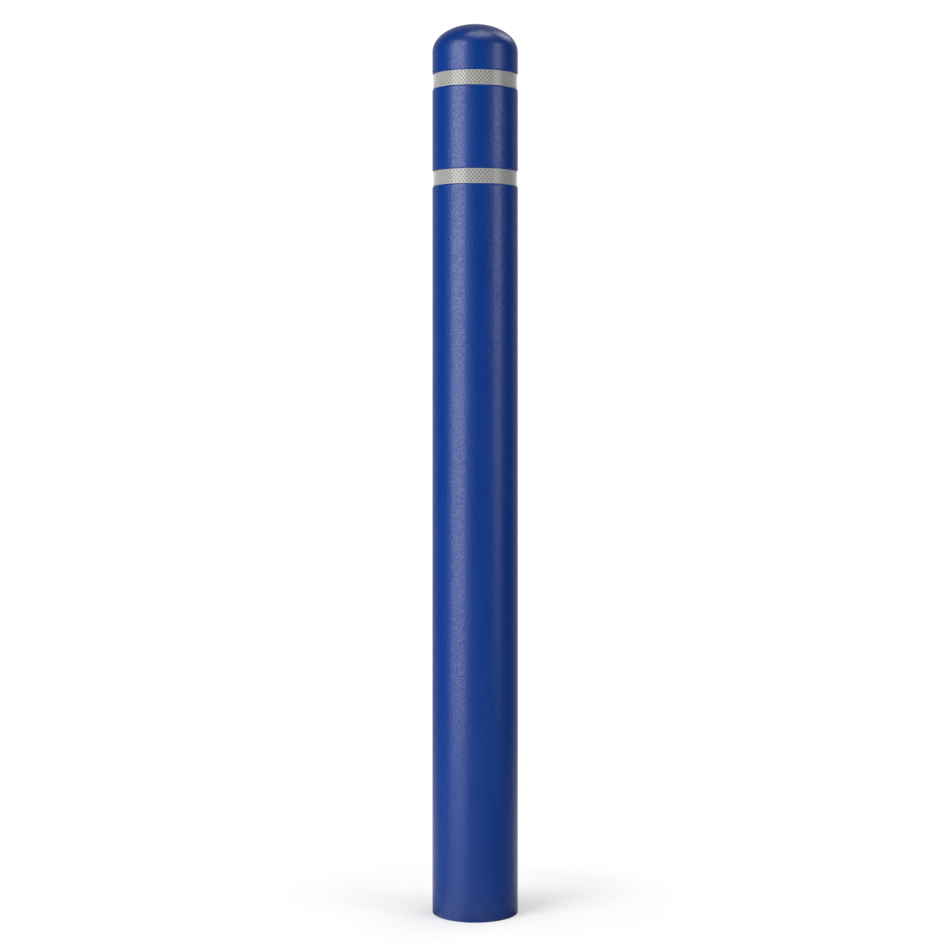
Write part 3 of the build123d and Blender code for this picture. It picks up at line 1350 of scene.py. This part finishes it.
@dataclass
class FloorSpigot:
    """The anchored foot: a round plate, the spigot pipe that the post stands over, and its weld."""

    plate_radius: float
    plate_top: float
    tube_radius: float
    tube_top: float
    anchor_circle: float
    anchor_radius: float
    anchor_count: int
    plate_edge: float = 0.8 * MM
    tube_wall: float = 5.74 * MM
    lead: float = 2.5 * MM
    hole_bevel: float = 0.7 * MM
    turns: int = 240

    @classmethod
    def from_frame(cls) -> "FloorSpigot":
        """Reads the spigot's sizes from the frame and its anchor holes from the record.

        Returns:
            The sub-assembly.
        """
        pattern = next(m for m in frame["record"]["mounts"] if m["kind"] == "bolt_pattern")["dims"]
        return cls(
            plate_radius=radius_of("base_plate"),
            plate_top=bounds_of("base_plate")[1],
            tube_radius=radius_of("spigot_tube"),
            tube_top=bounds_of("spigot_tube")[1],
            anchor_circle=pattern["pcd_mm"] / 2 * MM,
            anchor_radius=pattern["hole_r_mm"] * MM,
            anchor_count=pattern["count"],
        )

    def build_plate(self) -> bpy.types.Object:
        """Makes the plate, drilled for its anchors.

        Returns:
            The plate's object.
        """
        bm = bmesh.new()
        corners = wire(bm, [
            section(0, 0),
            section(self.plate_radius, 0),
            section(self.plate_radius, self.plate_top),
            section(0, self.plate_top),
        ])
        round_corners(bm, corners[1:3], self.plate_edge, 3)
        lathe(bm, self.turns)
        plate = to_object(bm, "floor_plate")
        bits = []
        for index in range(self.anchor_count):
            angle = FULL_TURN * (index + 0.5) / self.anchor_count
            bit = drill_bit(self.anchor_radius, -self.plate_top, self.plate_top, self.hole_bevel)
            centre = Vector((math.cos(angle), math.sin(angle), 0)) * self.anchor_circle
            bmesh.ops.translate(bit, vec=centre, verts=bit.verts[:])
            bits.append(to_object(bit, f"anchor_bit_{index}"))
        drill(plate, bits)
        return plate

    def build_tube(self) -> bpy.types.Object:
        """Makes the spigot pipe, with a lead-in round its top.

        Returns:
            The spigot pipe's object.
        """
        bore = self.tube_radius - self.tube_wall
        bm = bmesh.new()
        corners = wire(bm, [
            section(self.tube_radius, self.plate_top),
            section(self.tube_radius, self.tube_top),
            section(bore, self.tube_top),
            section(bore, self.plate_top),
        ])
        bm.edges.new((corners[-1], corners[0]))
        round_corners(bm, [corners[1]], self.lead, 3)
        round_corners(bm, [corners[2]], self.plate_edge, 2)
        lathe(bm, self.turns)
        return to_object(bm, "spigot_pipe")

    def build(self) -> None:
        """Makes and dresses the spigot's pieces."""
        steel = GalvanisedSteel(name="galvanised spigot", spangle=55.0).material()
        weld = WeldMetal(name="spigot weld bead").material()
        attach(self.build_plate(), steel, Body.BASE, "base_plate")
        attach(self.build_tube(), steel, Body.BASE, "spigot_tube")
        low, high = bounds_of("spigot_weld")
        bore = self.tube_radius - self.tube_wall
        WeldRing("foot_weld", "spigot_weld", bore, low, high - low, -1.0).build(weld, Body.BASE)


# ---------------------------------------------------------------- studio


@dataclass(frozen=True)
class SoftBox:
    """A rectangular soft light, by its place, size and brightness. It can fade to its foot or crown."""

    name: str
    centre: Point
    target: Point
    width: float
    height: float
    radiance: float
    foot: float = 1.0
    full_from: float = 0.4
    crown: float = 1.0

    def build(self) -> None:
        """Hangs the light, hidden from the camera."""
        light = bpy.data.lights.new(self.name, "AREA")
        light.shape = "RECTANGLE"
        light.size = self.width
        light.size_y = self.height
        light.energy = self.radiance * math.pi * self.width * self.height
        light.use_nodes = True
        nodes = Nodes(light.node_tree)
        spot = nodes.add("NewGeometry").outputs["Parametric"]
        up = nodes.add("SeparateXYZ", {"Vector": spot}).outputs["Y"]
        lower = nodes.add("MapRange", {
            "Value": up, "From Min": 0.0, "From Max": self.full_from, "To Min": self.foot, "To Max": 1.0,
        }).outputs["Result"]
        upper = nodes.add("MapRange", {
            "Value": up, "From Min": 0.5, "From Max": 1.0, "To Min": 1.0, "To Max": self.crown,
        }).outputs["Result"]
        strength = nodes.maths("MULTIPLY", lower, upper)
        glow = nodes.add("Emission", {"Color": (1, 1, 1, 1), "Strength": strength})
        out = nodes.add("OutputLight")
        nodes.feed(out.inputs["Surface"], glow.outputs[0])
        lamp = bpy.data.objects.new(self.name, light)
        lamp.location = self.centre
        towards = Vector(self.target) - Vector(self.centre)
        lamp.rotation_euler = towards.to_track_quat("-Z", "Y").to_euler()
        lamp.visible_camera = False
        bpy.context.scene.collection.objects.link(lamp)


@dataclass(frozen=True)
class Studio:
    """A white room with a white floor, soft boxes and the camera."""

    lens: float = 78.13
    camera_distance: float = 3.068
    camera_height: float = 0.8165
    camera_drop: float = 0.1183
    floor_size: float = 14.0
    ambient: float = 0.30
    sky_glow: float = 0.65
    side_glow: float = 0.28
    back_glow: float = 0.08
    floor_seen: float = 1.06
    # How bright the floor is painted in the post's bounced light, behind it and in front of it.
    bounce_behind: float = 1.1
    bounce_in_front: float = 3.0
    floor_glow: float = 0.26
    key_glow: float = 0.95
    key_side: Point = (-0.72, -0.69, 0.0)
    boxes: tuple[SoftBox, ...] = field(default_factory=lambda: (
        SoftBox("left_key", (-0.86, -0.84, 1.18), (0, 0, 1.18), 0.83, 2.28, 3.80, 0.42, 0.40, 1.25),
        SoftBox("right_fill", (1.14, -0.62, 0.99), (0, 0, 0.99), 0.50, 1.96, 2.7, 0.03, 0.62),
        SoftBox("overhead", (0.19, -0.18, 2.80), (0, 0, 1.30), 1.10, 0.92, 2.85),
        SoftBox("back_right", (1.02, 1.02, 2.60), (0, 0, 1.30), 0.56, 0.9, 2.9),
    ))

    def build_camera(self) -> None:
        """Sets the camera level, with its lens shifted down so that the post's sides stay parallel."""
        lens = bpy.data.cameras.new("camera")
        lens.lens = self.lens
        lens.shift_y = -self.camera_drop
        lens.clip_start = 0.05
        lens.clip_end = 60.0
        camera = bpy.data.objects.new("camera", lens)
        camera.location = (-0.0002, -self.camera_distance, self.camera_height)
        camera.rotation_euler = (QUARTER_TURN, 0, 0)
        bpy.context.scene.collection.objects.link(camera)
        bpy.context.scene.camera = camera

    @staticmethod
    def grey(value: float) -> Colour:
        """Returns a neutral colour."""
        return (value, value, value, 1.0)

    @staticmethod
    def mix(nodes: Nodes, share: Feed, first: bpy.types.Node, second: bpy.types.Node) -> bpy.types.Node:
        """Adds a node that mixes two shaders, and returns it.

        Args:
            nodes: The nodes to add it to.
            share: The share of the second shader.
            first: The first shader.
            second: The second shader.

        Returns:
            The new node.
        """
        node = nodes.add("MixShader", {0: share})
        nodes.feed(node.inputs[1], first.outputs[0])
        nodes.feed(node.inputs[2], second.outputs[0])
        return node

    def build_floor(self) -> None:
        """Lays a white floor that takes soft shadows near the post and glows white further out and behind it,
        painted light that thins those shadows. For the post's diffuse light it is painted brighter in front
        and darker at the foot.
        """
        bm = bmesh.new()
        bmesh.ops.create_grid(bm, x_segments=1, y_segments=1, size=self.floor_size / 2)
        floor = to_object(bm, "studio_floor")
        material = bpy.data.materials.new("studio floor")
        material.use_nodes = True
        nodes = Nodes(material.node_tree)
        place = nodes.object_place()
        distance = nodes.add("VectorMath", {0: place}, operation="LENGTH").outputs["Value"]
        axes = nodes.add("SeparateXYZ", {"Vector": place})
        # The floor the eye sees is mixed with white glow, a fifth of it even at the foot and all of it far
        # out and behind the post: painted light that thins the floor's shadows.
        behind = nodes.spread(axes.outputs["Y"], -0.03, 0.18, 0.0, 0.75)
        far = nodes.maths("MAXIMUM", nodes.spread(distance, 0.06, 0.38, 0.22, 1.0), behind)
        matt = nodes.add("BsdfDiffuse", {"Color": self.grey(self.floor_seen)})
        white = nodes.add("Emission", {"Color": self.grey(1.0), "Strength": 1.0})
        seen = self.mix(nodes, far, matt, white)
        # For the post's diffuse light the floor is painted brighter in front and to the left: a painted pool
        # of bounced light.
        ahead = nodes.maths("MULTIPLY_ADD", axes.outputs["X"], 1.2, axes.outputs["Y"])
        painted_front_bounce = nodes.spread(ahead, -0.25, 0.05, self.bounce_in_front, self.bounce_behind)
        # The bounce is painted darker right at the foot: painted contact shade.
        bounce = nodes.maths("MULTIPLY", painted_front_bounce, nodes.spread(distance, 0.065, 0.10, 0.75, 1.0))
        bounce_grey = nodes.add("CombineXYZ", {0: bounce, 1: bounce, 2: bounce}).outputs["Vector"]
        bounced = nodes.add("BsdfDiffuse", {"Color": bounce_grey})
        mirrored = self.floor_mirrored(nodes, place, distance)
        reflected = nodes.add("Emission", {"Color": self.grey(1.0), "Strength": mirrored})
        ray = nodes.add("LightPath")
        unseen = self.mix(nodes, ray.outputs["Is Glossy Ray"], bounced, reflected)
        surface = self.mix(nodes, ray.outputs["Is Camera Ray"], unseen, seen)
        out = nodes.add("OutputMaterial")
        nodes.feed(out.inputs["Surface"], surface.outputs[0])
        floor.data.materials.append(material)

    def floor_mirrored(self, nodes: Nodes, place: Feed, distance: Feed) -> bpy.types.NodeSocket:
        """Works out how bright the floor is in the post's reflections: the room's and the key light's glow.

        Args:
            nodes: The floor's node tree.
            place: The place on the floor.
            distance: Its distance from the post.

        Returns:
            The socket that puts out the brightness.
        """
        direction = nodes.add("VectorMath", {0: place}, operation="NORMALIZE").outputs["Vector"]
        back = nodes.add("SeparateXYZ", {"Vector": direction}).outputs["Y"]
        room = nodes.spread(back, 0.35, 0.80, 0.0, self.side_glow)
        near = nodes.spread(distance, 0.3, 1.6, 1.0, 0.0)
        lit = nodes.maths("MULTIPLY_ADD", near, nodes.spread(back, -0.35, 0.15, 0.03, self.floor_glow), room)
        towards = nodes.add("VectorMath", {0: direction, 1: self.key_side}, operation="DOT_PRODUCT")
        sector = nodes.spread(towards.outputs["Value"], 0.86, 0.97, 0.0, 1.0)
        streak = nodes.spread(distance, 0.1, 0.9, 0.5 * self.key_glow, self.key_glow)
        return nodes.maths("MULTIPLY_ADD", sector, streak, lit)

    def build_room(self) -> None:
        """Makes the room white to the eye, and brighter behind the post than in front of it."""
        world = bpy.data.worlds.new("white room")
        bpy.context.scene.world = world
        world.use_nodes = True
        nodes = Nodes(world.node_tree)
        way = nodes.add("SeparateXYZ", {"Vector": nodes.add("TexCoord").outputs["Generated"]})
        side = nodes.spread(way.outputs["Y"], 0.35, 0.80, 0.0, self.side_glow)
        back = nodes.spread(way.outputs["Y"], 0.86, 0.97, 0.0, self.back_glow)
        mirrored = nodes.maths("ADD", side, back)
        ray = nodes.add("LightPath")
        above = nodes.spread(way.outputs["Z"], 0.6, 0.95, self.ambient, self.sky_glow)
        lit = nodes.spread(ray.outputs["Is Diffuse Ray"], 0.0, 1.0, mirrored, above)
        strength = nodes.spread(ray.outputs["Is Camera Ray"], 0.0, 1.0, lit, 1.0)
        sky = nodes.add("Background", {"Color": (1, 1, 1, 1), "Strength": strength})
        out = nodes.add("OutputWorld")
        nodes.feed(out.inputs["Surface"], sky.outputs[0])

    def build(self) -> None:
        """Sets up the studio."""
        bpy.context.scene.view_settings.view_transform = "Standard"
        self.build_room()
        self.build_floor()
        self.build_camera()
        for box in self.boxes:
            box.build()


def main() -> None:
    """Builds the bollard's three sub-assemblies and the studio round them."""
    logging.basicConfig(level=logging.INFO, format="%(name)s: %(message)s")
    for assembly in (FloorSpigot.from_frame(), Post.from_frame(), Cover.from_frame()):
        log.info("building %s", type(assembly).__name__)
        assembly.build()
    Studio().build()


if __name__ == "__main__":
    main()
